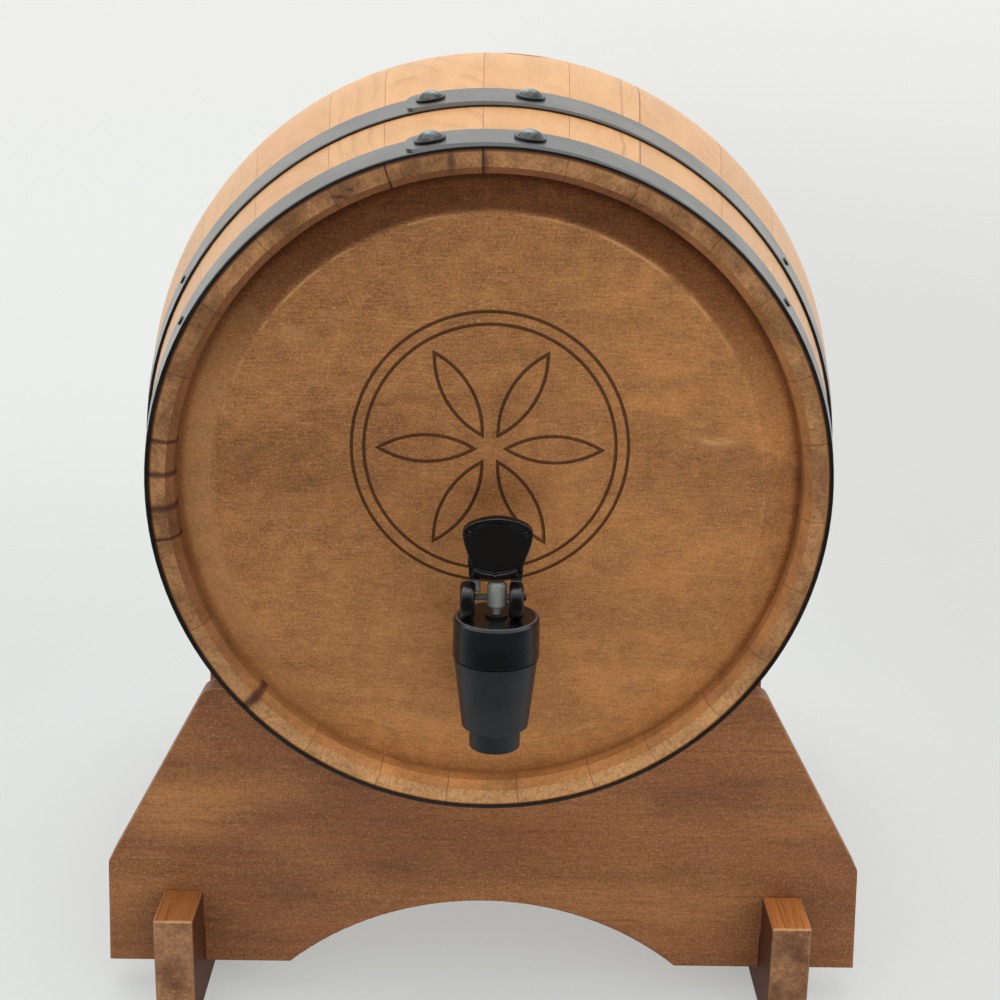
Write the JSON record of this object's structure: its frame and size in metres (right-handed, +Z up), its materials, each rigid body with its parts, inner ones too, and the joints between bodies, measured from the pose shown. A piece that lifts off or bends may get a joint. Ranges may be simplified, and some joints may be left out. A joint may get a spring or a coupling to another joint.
{
  "type": "oak cask liquor dispenser",
  "caption": "Small oak cask with black steel hoops and a black lever tap, lying in a dark wooden cradle stand. The tap's lever opens the valve, the bung pulls out and the cask lifts off.",
  "frame": {"origin": "on the floor under the middle of the whole object, half way between the boards' outer edges and half way between the tap's front and the cask's rear end", "axes": "+X to the right seen from the tap end, +Y from the tap towards the rear end of the cask, +Z up"},
  "size_m": [0.2772, 0.3416, 0.3375],
  "materials": {
    "stave_oak": "satin",
    "head_oak": "matte",
    "bung_wood": "matte",
    "stand_wood": "satin",
    "hoop_black": "satin",
    "rivet_steel": "polished",
    "washer_dark": "satin",
    "tap_black": "satin",
    "stem_white": "translucent",
    "seal_silicone": "matte"
  },
  "bodies": {
    "stand": {"front_board": "stand_wood", "rear_board": "stand_wood", "left_rail": "stand_wood", "right_rail": "stand_wood"},
    "cask": {"stave_01": "stave_oak", "stave_02": "stave_oak", "stave_03": "stave_oak", "stave_04": "stave_oak", "stave_05": "stave_oak", "stave_06": "stave_oak", "stave_07": "stave_oak", "stave_08": "stave_oak", "stave_09": "stave_oak", "stave_10": "stave_oak", "stave_11": "stave_oak", "stave_12": "stave_oak", "stave_13": "stave_oak", "stave_14": "stave_oak", "stave_15": "stave_oak", "stave_16": "stave_oak", "stave_17": "stave_oak", "stave_18": "stave_oak", "stave_19": "stave_oak", "stave_20": "stave_oak", "stave_21": "stave_oak", "stave_22": "stave_oak", "stave_23": "stave_oak", "stave_24": "stave_oak", "stave_25": "stave_oak", "stave_26": "stave_oak", "stave_27": "stave_oak", "stave_28": "stave_oak", "front_head": "head_oak", "rear_head": "head_oak", "front_end_hoop": "hoop_black", "front_quarter_hoop": "hoop_black", "rear_quarter_hoop": "hoop_black", "rear_end_hoop": "hoop_black", "hoop_rivets": "rivet_steel", "rivet_washers": "washer_dark", "hoop_nails": "rivet_steel", "valve_body": "tap_black", "bonnet": "tap_black", "shank_nut": "tap_black", "seat_cup": "seal_silicone", "outer_washer": "seal_silicone", "inner_washer": "seal_silicone"},
    "bung": {"bung": "bung_wood"},
    "stem": {"stem": "stem_white", "lever_pin": "stem_white"},
    "lever": {"lever": "tap_black"}
  },
  "joints": [
    {"name": "cask_lift", "type": "slide", "parent": "stand", "child": "cask", "axis": [0, 0, 1], "range_m": [0, 0.1]},
    {"name": "bung_pull", "type": "slide", "parent": "cask", "child": "bung", "axis": [0.0889, 0, 0.996], "range_m": [0, 0.04]},
    {"name": "stem_lift", "type": "slide", "parent": "cask", "child": "stem", "axis": [0, 0, 1], "range_m": [0, 0.0034], "deforming": ["seat_cup"]},
    {"name": "lever_pull", "type": "hinge", "parent": "stem", "child": "lever", "pos_m": [0.0028, -0.15715, 0.1777], "axis": [1, 0, 0], "range_deg": [0, 65], "stiffness_Nm_per_rad": 0.03}
  ],
  "couplings": [
    {"joint": "lever_pull", "follows": "stem_lift", "rad_per_m": 333.33}
  ]
}
